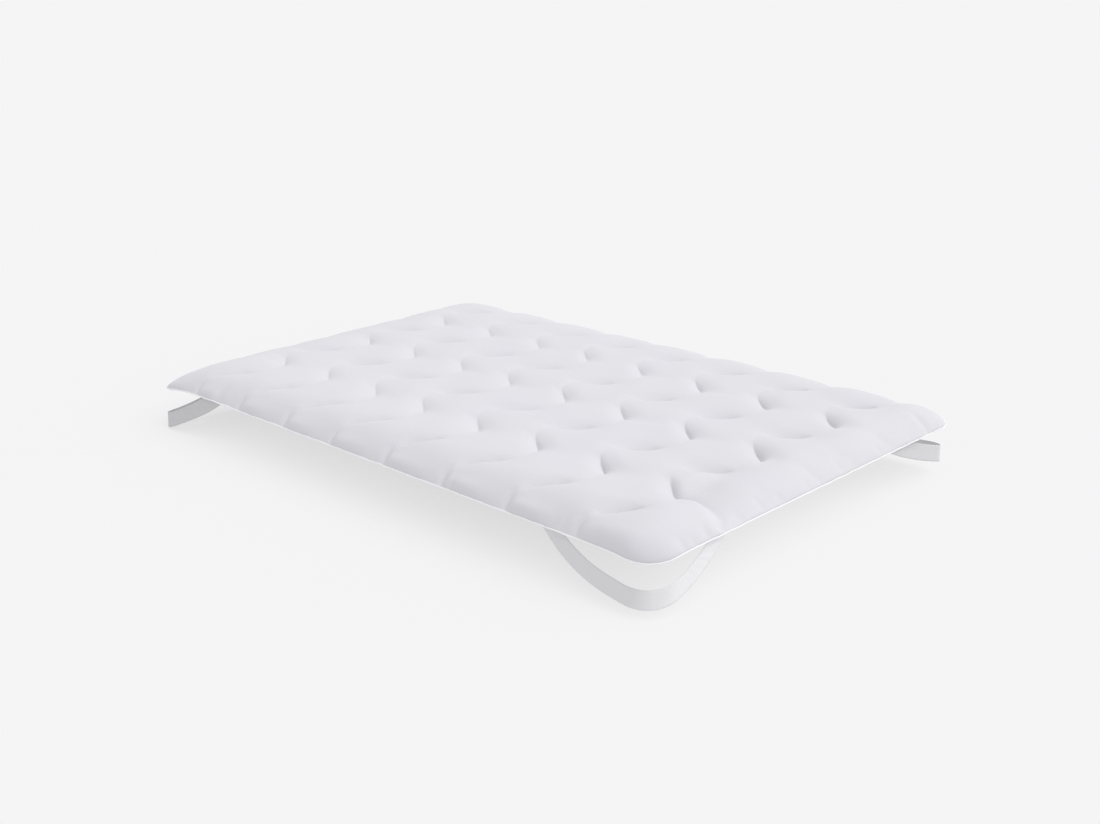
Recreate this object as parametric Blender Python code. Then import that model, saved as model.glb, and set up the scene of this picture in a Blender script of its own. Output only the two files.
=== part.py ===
"""Quilted mattress topper, 200 x 135 cm, with a piped edge and an elastic strap at each corner.

Metres, +Z up. The origin is the middle of the flat underside, where the topper lies on its
mattress. +X runs along the long side and +Y along the short side, so the front is at -Y.
"""

import math

import bmesh
import bpy
from mathutils import Vector

# Panel
LENGTH = 2.000
WIDTH = 1.350
CORNER_RADIUS = 0.090
CROWN_HEIGHT = 0.066
PIPED_EDGE_HEIGHT = 0.010

# Wave quilting: each seam crosses the panel from front to back, side by side with the next
SEAM_MIDDLES = (-0.732, -0.5125, -0.291, -0.0825, 0.141, 0.3635, 0.590, 0.8145)
WAVE_LENGTH = 0.341
WAVE_SWING = 0.054
WAVE_START = 0.293

# Depth of a seam below the crown, where it slants to the left and where it slants to the right.
# The fill is pulled down less in the middle of the panel than at its right end.
DEPTH_AT_LEFT_SLANT = 0.024
DEPTH_AT_RIGHT_SLANT = 0.012
DEPTH_AT_TURN = 0.002
DEPTH_PLACES = (-1.0, -0.30, 0.15, 0.60, 1.0)
DEPTH_SHARES = (0.50, 0.35, 0.52, 0.84, 1.03)

# How far in from the edge the fill reaches its full height
FRONT_ROLL = 0.075
BACK_ROLL = 0.170
LEFT_ROLL = 0.240
RIGHT_ROLL = 0.110

# Each seam pulls a notch into the rolled ends: share of the height there, and its reach
NOTCH_SHARE = 0.40
NOTCH_REACH = 0.045

# The panel is pulled into one valley from the last seam to the right edge, near the front
VALLEY_START = (0.800, -0.385)
VALLEY_END = (1.005, -0.425)
VALLEY_BOW = 0.035
VALLEY_DEPTH = 0.028
VALLEY_WIDTH_IN_FRONT = 0.026
VALLEY_WIDTH_BEHIND = 0.110

# Underside rim, from the piped edge in to the flat face: (inset from the edge, height)
UNDERSIDE_RIM = ((0.0030, 0.0054), (0.0120, 0.0048), (0.0280, 0.0))

PIPING_RADIUS = 0.0022
GAP = 0.0003
PIPING_OFFSET = PIPING_RADIUS + GAP
EDGE_INSET = PIPING_RADIUS + PIPING_OFFSET

STRAP_WIDTH = 0.048
STRAP_THICKNESS = 0.0016
STRAP_INSET = EDGE_INSET + 0.0060
STRAP_STEPS = 15
# A strap is sewn under the edge on both sides of its corner and hangs in a bow below it. A bow
# of 2 is an even curve; a higher one stays low for longer and then rises steeply to the edge.
# Its lowest place is given from the corner: below 0 beside the long edge, above 0 beside the
# short one.
# (name, side along X, side along Y, reach along X, reach along Y, drop, lowest place,
#  bow along X, bow along Y, radius of its bend round the corner)
STRAPS = (
    ("strap_front_right", 1, -1, 0.330, 0.262, 0.108, 0.0, 2.9, 2.2, 0.085),
    ("strap_front_left", -1, -1, 0.335, 0.310, 0.143, 0.06, 1.5, 3.0, 0.045),
    ("strap_back_right", 1, 1, 0.330, 0.345, 0.116, -0.09, 3.0, 1.5, 0.075),
    ("strap_back_left", -1, 1, 0.320, 0.290, 0.110, 0.0, 2.2, 2.4, 0.070),
)

# Grid lines of the top: fractions of the way across a strip, close together by seam and edge
BETWEEN_SEAMS = (0.07, 0.22, 0.50, 0.78, 0.93)
LEFT_OF_SEAMS = (0.03, 0.10, 0.22, 0.42, 0.68, 0.86, 0.95)
RIGHT_OF_SEAMS = (0.07, 0.22, 0.45, 0.65, 0.82, 0.95)
ROWS_IN_A_CORNER = 6
ROWS_BETWEEN_CORNERS = 34

SEAM_COUNT = len(SEAM_MIDDLES)

# The outline of the quilted body lies just inside the piping
HALF_LENGTH = LENGTH / 2 - EDGE_INSET
HALF_WIDTH = WIDTH / 2 - EDGE_INSET
BODY_RADIUS = CORNER_RADIUS - EDGE_INSET
CORNER_X = HALF_LENGTH - BODY_RADIUS
CORNER_Y = HALF_WIDTH - BODY_RADIUS


def clear_scene():
    for obj in list(bpy.data.objects):
        bpy.data.objects.remove(obj, do_unlink=True)


def cloth_material(name, colour, roughness):
    material = bpy.data.materials.new(name)
    material.use_nodes = True
    shader = material.node_tree.nodes["Principled BSDF"]
    shader.inputs["Base Color"].default_value = (*colour, 1.0)
    shader.inputs["Roughness"].default_value = roughness
    shader.inputs["Metallic"].default_value = 0.0
    return material


def add_object(name, data, material):
    data.materials.append(material)
    obj = bpy.data.objects.new(name, data)
    bpy.context.collection.objects.link(obj)
    return obj


def between(value, places, shares):
    """Straight-line reading of a short table at value."""
    for start, end, low, high in zip(places, places[1:], shares, shares[1:]):
        if value <= end:
            return low + (high - low) * (value - start) / (end - start)
    return shares[-1]


def wave_phase(y):
    return 2 * math.pi * (y + WIDTH / 2 - WAVE_START) / WAVE_LENGTH


def seam_x(number, y):
    """X of one wave seam, numbered from 0 at the left, where it crosses y."""
    return SEAM_MIDDLES[number] - WAVE_SWING * math.sin(wave_phase(y))


def side_x(y):
    """X of the right edge at y, drawn in where the corner is rounded."""
    past = abs(y) - CORNER_Y
    if past <= 0:
        return HALF_LENGTH
    return CORNER_X + math.sqrt(max(BODY_RADIUS**2 - past**2, 0.0))


def end_y(x):
    """Y of the back edge at x, drawn in where the corner is rounded."""
    past = abs(x) - CORNER_X
    if past <= 0:
        return HALF_WIDTH
    return CORNER_Y + math.sqrt(max(BODY_RADIUS**2 - past**2, 0.0))


def row_places():
    """Y of every row: even angles round the corners and even steps between them."""
    steps = [math.pi / 2 * i / ROWS_IN_A_CORNER for i in range(ROWS_IN_A_CORNER)]
    corner = [HALF_WIDTH - BODY_RADIUS * (1 - math.cos(angle)) for angle in steps]
    pitch = 2 * CORNER_Y / ROWS_BETWEEN_CORNERS
    middle = [-CORNER_Y + pitch * i for i in range(ROWS_BETWEEN_CORNERS + 1)]
    return [-y for y in corner] + middle + corner[::-1]


def column_places():
    """(strip, fraction) of every column; strip 0 lies left of the first seam."""
    places = [(0, 0.0)] + [(0, part) for part in LEFT_OF_SEAMS]
    for strip in range(1, SEAM_COUNT):
        places += [(strip, 0.0)] + [(strip, part) for part in BETWEEN_SEAMS]
    places += [(SEAM_COUNT, 0.0)] + [(SEAM_COUNT, part) for part in RIGHT_OF_SEAMS]
    return places + [(SEAM_COUNT, 1.0)]


def strip_sides(strip, y):
    left = -side_x(y) if strip == 0 else seam_x(strip - 1, y)
    right = side_x(y) if strip == SEAM_COUNT else seam_x(strip, y)
    return left, right


def dome(distance, reach):
    """Height of a quarter ellipse, from 0 at the edge to 1 at reach and beyond."""
    return math.sqrt(1 - (1 - min(max(distance, 0.0) / reach, 1.0)) ** 2)


def puff(fraction):
    """Height across a filled channel: 0 at the seam, steep beside it, 1 along the middle."""
    return (1 - (1 - fraction) ** 4) ** 0.8


def seam_depth(x, y):
    """How far a seam lies below the crown: deep where it slants, shallow where it turns."""
    slant = math.cos(wave_phase(y))
    slanted = DEPTH_AT_LEFT_SLANT if slant > 0 else DEPTH_AT_RIGHT_SLANT
    return DEPTH_AT_TURN + slanted * slant**4 * between(x, DEPTH_PLACES, DEPTH_SHARES)


def valley(x, y):
    """How far the top is pulled down at (x, y) by the valley beside the last seam."""
    t = (x - VALLEY_START[0]) / (VALLEY_END[0] - VALLEY_START[0])
    line = VALLEY_START[1] + (VALLEY_END[1] - VALLEY_START[1]) * t + VALLEY_BOW * 4 * t * (1 - t)
    width = VALLEY_WIDTH_BEHIND if y > line else VALLEY_WIDTH_IN_FRONT
    begun = min(max(t * 4, 0.0), 1.0)
    return VALLEY_DEPTH * begun * math.exp(-(((y - line) / width) ** 2))


def top_height(x, y, strip, fraction):
    across = min(fraction, 1 - fraction) * 2
    if strip == 0:
        across = min((1 - fraction) * 2, 1.0)
    if strip == SEAM_COUNT:
        across = min(fraction * 2, 1.0)
    middle = CROWN_HEIGHT - seam_depth(x, y) * (1 - puff(across)) - valley(x, y)
    to_end = end_y(x) - abs(y)
    by_end = dome(to_end, FRONT_ROLL if y < 0 else BACK_ROLL)
    by_side = dome(side_x(y) - abs(x), LEFT_ROLL if x < 0 else RIGHT_ROLL)
    edge = 0.0
    if min(by_end, by_side) > 1e-6:
        edge = (by_end**-3 + by_side**-3 - 1) ** (-1 / 3)
    edge *= 1 - NOTCH_SHARE * (1 - puff(across)) * math.exp(-((to_end / NOTCH_REACH) ** 2))
    return PIPED_EDGE_HEIGHT + (middle - PIPED_EDGE_HEIGHT) * edge


def outward(x, y):
    """Direction straight out of the outline nearest to (x, y)."""
    past_x = max(abs(x) - CORNER_X, 0.0)
    past_y = max(abs(y) - CORNER_Y, 0.0)
    if past_x > 0 and past_y > 0:
        return Vector((math.copysign(past_x, x), math.copysign(past_y, y), 0)).normalized()
    if HALF_LENGTH - abs(x) < HALF_WIDTH - abs(y):
        return Vector((math.copysign(1, x), 0, 0))
    return Vector((0, math.copysign(1, y), 0))


def quilted_body(material):
    """Top, fill and underside as one filled solid; its grid runs along the wave seams."""
    columns, rows = column_places(), row_places()
    bm = bmesh.new()
    bmesh.ops.create_grid(bm, x_segments=len(columns) - 1, y_segments=len(rows) - 1, size=0.5)
    for vert in bm.verts:
        strip, fraction = columns[round((vert.co.x + 0.5) * (len(columns) - 1))]
        y = rows[round((vert.co.y + 0.5) * (len(rows) - 1))]
        left, right = strip_sides(strip, y)
        x = left + (right - left) * fraction
        vert.co = (x, y, top_height(x, y, strip, fraction))
    edges = [edge for edge in bm.edges if edge.is_boundary]
    inset_so_far = 0.0
    for inset, height in UNDERSIDE_RIM:
        grown = bmesh.ops.extrude_edge_only(bm, edges=edges)["geom"]
        edges = [item for item in grown if isinstance(item, bmesh.types.BMEdge)]
        for vert in (item for item in grown if isinstance(item, bmesh.types.BMVert)):
            vert.co -= outward(vert.co.x, vert.co.y) * (inset - inset_so_far)
            vert.co.z = height
        edges = [edge for edge in edges if edge.is_boundary]
        inset_so_far = inset
    bmesh.ops.edgeloop_fill(bm, edges=edges)
    bmesh.ops.recalc_face_normals(bm, faces=bm.faces)
    mesh = bpy.data.meshes.new("quilted_body")
    bm.to_mesh(mesh)
    bm.free()
    mesh.shade_smooth()
    mesh.set_sharp_from_angle(angle=math.radians(50))
    return add_object("quilted_body", mesh, material)


def edge_outline():
    """Points round the body's outline, anticlockwise: the ends of its columns and rows."""
    rows = row_places()
    fronts = []
    for strip, fraction in column_places()[1:-1]:
        left, right = strip_sides(strip, -HALF_WIDTH)
        fronts.append((left + (right - left) * fraction, -HALF_WIDTH))
    backs = []
    for strip, fraction in column_places()[1:-1]:
        left, right = strip_sides(strip, HALF_WIDTH)
        backs.append((left + (right - left) * fraction, HALF_WIDTH))
    rights = [(side_x(y), y) for y in rows]
    lefts = [(-side_x(y), y) for y in rows]
    return fronts + rights + backs[::-1] + lefts[::-1]


def edge_piping(material):
    """One closed cord of piping round the whole outline, at the height of the edge seam."""
    points = []
    for x, y in edge_outline():
        place = Vector((x, y, PIPED_EDGE_HEIGHT)) + outward(x, y) * PIPING_OFFSET
        points.append(place)
    curve = bpy.data.curves.new("edge_piping", "CURVE")
    curve.dimensions = "3D"
    curve.bevel_depth = PIPING_RADIUS
    curve.bevel_resolution = 1
    spline = curve.splines.new("POLY")
    spline.points.add(len(points) - 1)
    for point, place in zip(spline.points, points):
        point.co = (*place, 1.0)
    spline.use_cyclic_u = True
    return add_object("edge_piping", curve, material)


def rim_place(side_of_x, side_of_y, along, radius):
    """Point on the strap's line below the edge, which turns the corner in an arc of radius.

    along is the way from the middle of the corner: below 0 beside the long edge, above 0
    beside the short one.
    """
    arc = radius * math.pi / 4
    turned = max(-arc, min(arc, along))
    angle = math.pi / 4 + turned / radius
    x = LENGTH / 2 - STRAP_INSET - radius * (1 - math.sin(angle)) - max(-along - arc, 0.0)
    y = WIDTH / 2 - STRAP_INSET - radius * (1 - math.cos(angle)) - max(along - arc, 0.0)
    return side_of_x * x, side_of_y * y


def strap(name, side_of_x, side_of_y, reach_x, reach_y, drop, lowest, bow_x, bow_y, radius,
          material):
    """A flat elastic band, sewn under the edge at both ends, that hangs round the corner."""
    top = UNDERSIDE_RIM[1][1] - GAP
    corner_saving = radius * (1 - math.pi / 4)
    reach_x += lowest - corner_saving
    reach_y -= lowest + corner_saving
    bm = bmesh.new()
    pairs = []
    for step in range(-STRAP_STEPS, STRAP_STEPS + 1):
        t = step / STRAP_STEPS
        reach, bow = (reach_x, bow_x) if t < 0 else (reach_y, bow_y)
        hang = 1 - abs(t) ** bow
        end_slope = bow * drop / reach
        end_width = STRAP_WIDTH * math.sqrt(1 + end_slope**-2)
        rows = (
            (lowest + t * reach, top - (drop + top) * hang),
            (lowest + t * (reach - end_width), top - (drop + top - STRAP_WIDTH) * hang),
        )
        pair = []
        for along, z in rows:
            x, y = rim_place(side_of_x, side_of_y, along, radius)
            pair.append(bm.verts.new((x, y, z)))
        pairs.append(pair)
    for (low, high), (next_low, next_high) in zip(pairs, pairs[1:]):
        bm.faces.new((low, next_low, next_high, high))
    mesh = bpy.data.meshes.new(name)
    bm.to_mesh(mesh)
    bm.free()
    mesh.shade_smooth()
    obj = add_object(name, mesh, material)
    thickness = obj.modifiers.new("thickness", "SOLIDIFY")
    thickness.thickness = STRAP_THICKNESS
    thickness.offset = 0.0
    return obj


def main():
    clear_scene()
    cover = cloth_material("cover_cloth", (0.80, 0.80, 0.85), 0.85)
    piping = cloth_material("piping_cloth", (0.88, 0.88, 0.90), 0.75)
    elastic = cloth_material("strap_elastic", (0.68, 0.68, 0.70), 0.80)
    quilted_body(cover)
    edge_piping(piping)
    for row in STRAPS:
        strap(*row, elastic)


main()
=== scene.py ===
# %% [markdown]
# # A quilted mattress topper
#
# A topper is a thin, soft mattress: two sheets of cloth with loose fibre between them. Rows of
# stitches go right through, so that the fibre stays in place and the cloth puffs up between the
# rows. Round the edge runs a piping, and at each corner hangs an elastic strap that grips the
# mattress below.
#
# The solids of the part are the frame of this lesson. We load them first and read their sizes,
# so that every soft piece we make fits the space that its plain solid holds.

# %% Load the frame
import math

import bpy
import numpy as np
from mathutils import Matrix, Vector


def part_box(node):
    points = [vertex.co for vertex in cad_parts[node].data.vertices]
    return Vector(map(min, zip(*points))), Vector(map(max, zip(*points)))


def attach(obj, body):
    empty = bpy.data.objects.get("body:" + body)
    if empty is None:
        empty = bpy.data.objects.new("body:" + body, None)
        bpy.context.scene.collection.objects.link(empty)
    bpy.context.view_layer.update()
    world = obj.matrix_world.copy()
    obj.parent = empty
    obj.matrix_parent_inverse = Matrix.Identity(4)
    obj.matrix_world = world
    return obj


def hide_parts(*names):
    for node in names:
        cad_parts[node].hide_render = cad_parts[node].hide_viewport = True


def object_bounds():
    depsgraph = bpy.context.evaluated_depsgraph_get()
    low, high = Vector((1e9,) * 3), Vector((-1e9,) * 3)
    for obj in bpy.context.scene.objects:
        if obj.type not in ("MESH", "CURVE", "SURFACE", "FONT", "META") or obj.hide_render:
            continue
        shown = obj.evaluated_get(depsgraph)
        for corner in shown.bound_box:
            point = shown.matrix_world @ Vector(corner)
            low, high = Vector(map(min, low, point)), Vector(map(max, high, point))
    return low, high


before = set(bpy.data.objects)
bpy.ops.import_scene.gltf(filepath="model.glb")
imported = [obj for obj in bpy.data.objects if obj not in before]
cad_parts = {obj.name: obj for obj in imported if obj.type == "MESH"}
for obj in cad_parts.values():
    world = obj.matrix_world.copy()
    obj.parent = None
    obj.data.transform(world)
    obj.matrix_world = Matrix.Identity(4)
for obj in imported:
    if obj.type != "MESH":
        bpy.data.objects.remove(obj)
cad_low, cad_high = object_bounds()
body_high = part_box("quilted_body")[1]
piping_low, piping_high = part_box("edge_piping")
print("solid box", [round(v, 4) for v in cad_low], [round(v, 4) for v in cad_high])

# %% [markdown]
# ## Camera
#
# A photo of a thing this wide shows its corners at angles that give the lens away. The camera
# here was found from the straight edges and the rows of stitches: about two and a half metres
# off, a little over a metre up, with a normal lens. It turns about X and Z only, as a camera on
# a level tripod does.

# %% Place the camera
CAMERA_PLACE = (2.640, -2.725, 1.2325)
CAMERA_TILT = 71.60
CAMERA_TURN = 43.52
LENS_MM = 43.92

camera = bpy.data.objects.new("camera", bpy.data.cameras.new("camera"))
bpy.context.scene.collection.objects.link(camera)
camera.location = CAMERA_PLACE
camera.rotation_euler = (math.radians(CAMERA_TILT), 0.0, math.radians(CAMERA_TURN))
camera.data.lens = LENS_MM
camera.data.clip_end = 1000.0
bpy.context.scene.camera = camera
print("camera", CAMERA_PLACE, "lens", LENS_MM, "mm")

# %% [markdown]
# ## Light
#
# White bedding is photographed in a white room. The room is one even white world, which fills
# every hollow, and a wide sun from behind on the right gives the folds their soft dark side.
# It is 40 degrees wide, which blurs every shadow as a large window would.

# %% Set the world and the sun
ROOM_WHITE = 0.920
ROOM_COLOUR = (0.993, 0.990, 1.0, 1.0)
SUN_STRENGTH = 1.38
SUN_WIDTH = 40.0
SUN_HEIGHT = 44.0
SUN_FROM = 55.0

scene = bpy.context.scene
scene.view_settings.view_transform = "Standard"
scene.world = bpy.data.worlds.new("white_room")
scene.world.use_nodes = True
room = scene.world.node_tree.nodes["Background"]
room.inputs["Color"].default_value = ROOM_COLOUR
room.inputs["Strength"].default_value = ROOM_WHITE

sun = bpy.data.objects.new("sun", bpy.data.lights.new("sun", "SUN"))
scene.collection.objects.link(sun)
sun.data.energy = SUN_STRENGTH
sun.data.angle = math.radians(SUN_WIDTH)
sun.rotation_euler = (math.radians(90 - SUN_HEIGHT), 0.0, math.radians(SUN_FROM + 90))
print("room", ROOM_WHITE, "sun", SUN_STRENGTH, "from", SUN_FROM, "degrees")

# %% [markdown]
# ## Shader sums
#
# A finish is a sum of patterns. Blender adds numbers with Math nodes, which are slow to wire by
# hand. This small class wraps one socket, so that `weave * 0.3 + slub` adds its own nodes. Any
# other node comes from its `node` method.


# %% One class for shader maths
class Tone:
    """A number or colour that changes over a surface: one output socket, with operators."""

    def __init__(self, tree, socket=None):
        self.tree = tree
        self.socket = socket

    def node(self, kind, settings=None, inputs=None, output=0):
        """Add a node: first its settings, then the values or links of its sockets."""
        made = self.tree.nodes.new(kind)
        for name, value in (settings or {}).items():
            setattr(made, name, value)
        for name, value in (inputs or {}).items():
            if isinstance(value, Tone):
                self.tree.links.new(value.socket, made.inputs[name])
            else:
                made.inputs[name].default_value = value
        return Tone(self.tree, made.outputs[output])

    def calculate(self, operation, *values):
        """One Math node on these values, which are numbers or Tones."""
        return self.node("ShaderNodeMath", {"operation": operation}, dict(enumerate(values)))

    def __add__(self, other):
        return self.calculate("ADD", self, other)

    def __sub__(self, other):
        return self.calculate("SUBTRACT", self, other)

    def __rsub__(self, other):
        return self.calculate("SUBTRACT", other, self)

    def __mul__(self, other):
        return self.calculate("MULTIPLY", self, other)

    __radd__ = __add__
    __rmul__ = __mul__

    def wave(self, length):
        """Sine of this number, from 0 to 1, with one wave to each length."""
        return self.calculate("SINE", self * (2 * math.pi / length)) * 0.5 + 0.5

    def rise(self, low, high):
        """0 below low, 1 above high and a smooth step between them."""
        return self.node(
            "ShaderNodeMapRange",
            {"interpolation_type": "SMOOTHSTEP"},
            {"Value": self, "From Min": low, "From Max": high},
        )

    def blend(self, first, second):
        """The first colour where this number is 0 and the second where it is 1."""
        inputs = {0: self, 6: first, 7: second}
        return self.node("ShaderNodeMix", {"data_type": "RGBA"}, inputs, output=2)


# %% [markdown]
# A pattern needs to know where it is on the cloth. Each piece below carries a UV map in metres:
# U and V are lengths along and across its cloth, so a weave keeps its real size on flat parts
# and steep sides alike.


# %% Start and end a finish
def new_finish(name, roughness):
    """(material, its shader, an empty Tone to add nodes with)."""
    material = bpy.data.materials.new(name)
    material.use_nodes = True
    shader = material.node_tree.nodes["Principled BSDF"]
    shader.inputs["Roughness"].default_value = roughness
    return material, shader, Tone(material.node_tree)


def on_cloth(pen):
    """U and V of the piece's own cloth, in metres."""
    uv = pen.node("ShaderNodeUVMap", {"uv_map": "cloth"})
    along = pen.node("ShaderNodeSeparateXYZ", inputs={"Vector": uv})
    return along, Tone(pen.tree, along.socket.node.outputs["Y"])


def speckle(pen, size, detail=2.0):
    """Soft noise on Object coordinates, from 0 to 1, with patches of about this size."""
    place = pen.node("ShaderNodeTexCoord", output=3)
    inputs = {"Vector": place, "Scale": 1.0 / size, "Detail": detail}
    return pen.node("ShaderNodeTexNoise", inputs=inputs)


def relief(pen, shader, height):
    """Raise the surface by a height in metres, as bump."""
    inputs = {"Height": height, "Distance": 1.0, "Strength": 1.0}
    bump = pen.node("ShaderNodeBump", inputs=inputs)
    pen.tree.links.new(bump.socket, shader.inputs["Normal"])


def paint(pen, shader, socket, tone):
    """Let a Tone set one socket of the shader."""
    pen.tree.links.new(tone.socket, shader.inputs[socket])


# %% [markdown]
# ## Floor
#
# The floor is pale and has no edge: it runs on until it meets the white of the room. A studio
# floor is lit from all sides, and only a soft shadow is left on it. So this one glows by itself,
# as bright as the room, and is darkened by an Ambient Occlusion node. That measures the share of
# directions in which something hides the room. Looked at towards the right, and squared, it is
# deep below the topper, weaker on the right, and soon gone in front.

# %% Lay the floor below the straps
FLOOR_GAP = 0.004
FLOOR_SIZE = 500.0
BLACK = (0.0, 0.0, 0.0, 1.0)
LIT_FROM = (0.84, -0.09, 0.54)
SHADOW_REACH = 0.95
SHADOW_DEPTH = 0.59
SIGHT_LINES = 16

floor_z = cad_low.z - FLOOR_GAP
sides = ((-1, -1), (1, -1), (1, 1), (-1, 1))
corners = [(x * FLOOR_SIZE / 2, y * FLOOR_SIZE / 2, floor_z) for x, y in sides]
floor_mesh = bpy.data.meshes.new("floor")
floor_mesh.from_pydata(corners, [], [(0, 1, 2, 3)])
floor = bpy.data.objects.new("floor", floor_mesh)
scene.collection.objects.link(floor)
floor_finish, shader, pen = new_finish("pale_floor", 1.0)
shader.inputs["Base Color"].default_value = BLACK
shader.inputs["Specular IOR Level"].default_value = 0.0
shader.inputs["Emission Strength"].default_value = ROOM_WHITE
lit_from = pen.node("ShaderNodeCombineXYZ", inputs=dict(enumerate(LIT_FROM)))
sight = {"Distance": SHADOW_REACH, "Normal": lit_from}
hidden = 1 - pen.node("ShaderNodeAmbientOcclusion", {"samples": SIGHT_LINES}, sight, output=1)
shadow = hidden * hidden * SHADOW_DEPTH
paint(pen, shader, "Emission Color", shadow.blend(ROOM_COLOUR, BLACK))
floor_mesh.materials.append(floor_finish)
print("floor at", round(floor_z, 4))

# %% [markdown]
# ## Finishes
#
# The cover is a fine plain weave: threads go over and under each other, so its height is a
# chequer of two sine waves. The threads are thinner than a pixel of the picture. What the eye
# sees from a few steps away is a matt, slightly cool white, a little uneven, with fine creases
# beside the stitches, where the thread gathers the cloth.

# %% Finish of the cover
COVER_WHITE = (0.632, 0.627, 0.652, 1.0)
COVER_COOL = (0.614, 0.621, 0.660, 1.0)
PATCH_SIZE = 0.35
SLUB_SIZE = 0.006
SLUB_HEIGHT = 0.00012
THREAD_WIDTH = 0.0005
THREAD_HEIGHT = 0.00004
CREASE_SIZE = 0.012
CREASE_HEIGHT = 0.0006
CREASED_FROM_SEAM = (0.002, 0.035)

cover_finish, shader, pen = new_finish("cover_cloth", 0.9)
along, across = on_cloth(pen)
white = speckle(pen, PATCH_SIZE).rise(0.35, 0.75).blend(COVER_WHITE, COVER_COOL)
slub = speckle(pen, SLUB_SIZE, 3.0)
paint(pen, shader, "Base Color", (slub * 0.5 + 0.2).blend(white, COVER_WHITE))
paint(pen, shader, "Roughness", slub * 0.10 + 0.86)
weave = along.wave(2 * THREAD_WIDTH) * across.wave(2 * THREAD_WIDTH)
to_seam = pen.node("ShaderNodeAttribute", {"attribute_name": "seam_distance"}, output=2)
crease = speckle(pen, CREASE_SIZE) * (1 - to_seam.rise(*CREASED_FROM_SEAM))
relief(pen, shader, weave * THREAD_HEIGHT + slub * SLUB_HEIGHT + crease * CREASE_HEIGHT)
shader.inputs["Sheen Weight"].default_value = 0.10
shader.inputs["Specular IOR Level"].default_value = 0.20

# %% [markdown]
# Piping is a narrow strip of the same cloth, cut on the slant and sewn over a cord, so its weave
# runs at 45 degrees. The strap is woven elastic: ribs along its length hold the rubber, and
# fine threads cross them. A grey is painted over it as shade, more on the legs that face away
# from the light. The sewing thread is two strands twisted together.

# %% Finishes of the piping, the elastic and the thread
PIPING_WHITE = (0.920, 0.920, 0.935, 1.0)
PIPING_SHADE = (0.820, 0.820, 0.845, 1.0)
ELASTIC_PALE = (0.855, 0.855, 0.865, 1.0)
ELASTIC_GREY = (0.735, 0.735, 0.750, 1.0)
# grey painted over the elastic as shade
PAINTED_SHADE_GREY = (0.500, 0.500, 0.510, 1.0)
THREAD_WHITE = (0.660, 0.655, 0.680, 1.0)
THREAD_SHADE = (0.590, 0.590, 0.615, 1.0)
SLANT_PITCH = 0.0012
SLANT_HEIGHT = 0.00010
LUMP_SIZE = 0.004
LUMP_HEIGHT = 0.00015
RIB_PITCH = 0.0024
PICK_PITCH = 0.0012
RIB_HEIGHT = 0.00022
# share of that painted shade on the most shaded leg
PAINTED_SHADE_SHARE = 0.8
TWIST_PITCH = 0.0012
TWIST_HEIGHT = 0.00006

piping_finish, shader, pen = new_finish("piping_cloth", 0.85)
along, across = on_cloth(pen)
slant = (along + across).wave(SLANT_PITCH) * (along - across).wave(SLANT_PITCH)
paint(pen, shader, "Base Color", slant.blend(PIPING_SHADE, PIPING_WHITE))
paint(pen, shader, "Roughness", slant * 0.1 + 0.8)
relief(pen, shader, slant * SLANT_HEIGHT + speckle(pen, LUMP_SIZE) * LUMP_HEIGHT)
shader.inputs["Specular IOR Level"].default_value = 0.25

elastic_finish, shader, pen = new_finish("strap_elastic", 0.8)
along, across = on_cloth(pen)
rib = across.wave(RIB_PITCH)
pick = along.wave(PICK_PITCH)
knit = rib * (pick * 0.35 + 0.65)
# stretch here is painted shade: how much grey lies on each leg, more where it faces from the light
stretch = pen.node("ShaderNodeAttribute", {"attribute_name": "stretch"}, output=2)
ribbed = knit.rise(0.1, 0.8).blend(ELASTIC_GREY, ELASTIC_PALE)
paint(pen, shader, "Base Color", (stretch * PAINTED_SHADE_SHARE).blend(ribbed, PAINTED_SHADE_GREY))
paint(pen, shader, "Roughness", rib * -0.12 + 0.85)
relief(pen, shader, knit * RIB_HEIGHT)
shader.inputs["Specular IOR Level"].default_value = 0.30

thread_finish, shader, pen = new_finish("sewing_thread", 0.7)
along, across = on_cloth(pen)
twist = (along + across * 0.5).wave(TWIST_PITCH)
paint(pen, shader, "Base Color", twist.blend(THREAD_SHADE, THREAD_WHITE))
relief(pen, shader, twist * TWIST_HEIGHT)

# %% [markdown]
# ## Grids of cloth
#
# Every cloth piece here is a grid: rows and columns of points, worked out as whole arrays. One
# helper turns such arrays into a mesh, gives it its UV map in metres and its finish. It also
# sums the volume inside, and turns the faces over where that comes out below zero.


# %% Grid helpers
def cells(grid):
    """The four corner values of each cell of a grid, in order round the cell."""
    corners = (grid[:-1, :-1], grid[:-1, 1:], grid[1:, 1:], grid[1:, :-1])
    return np.stack(corners, axis=2).reshape((-1, 4) + grid.shape[2:])


def closed(grid, axis):
    """The grid with its first line once more at the end, so that it meets itself."""
    return np.concatenate((grid, np.take(grid, [0], axis=axis)), axis=axis)


def lengths(points, axis):
    """Length along the cloth from the start of each row or column to each of its points."""
    steps = np.linalg.norm(np.diff(points, axis=axis), axis=-1)
    start = np.zeros_like(np.take(steps, [0], axis=axis))
    return np.cumsum(np.concatenate((start, steps), axis=axis), axis=axis)


def volume_inside(points, quads):
    """Sum over the faces of a . (b x c) / 6, with each quad as two triangles."""
    a, b, c, d = (points[quads[:, corner]] for corner in range(4))
    return float(np.einsum("ij,ij->", a, np.cross(b, c) + np.cross(c, d)) / 6)


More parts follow.
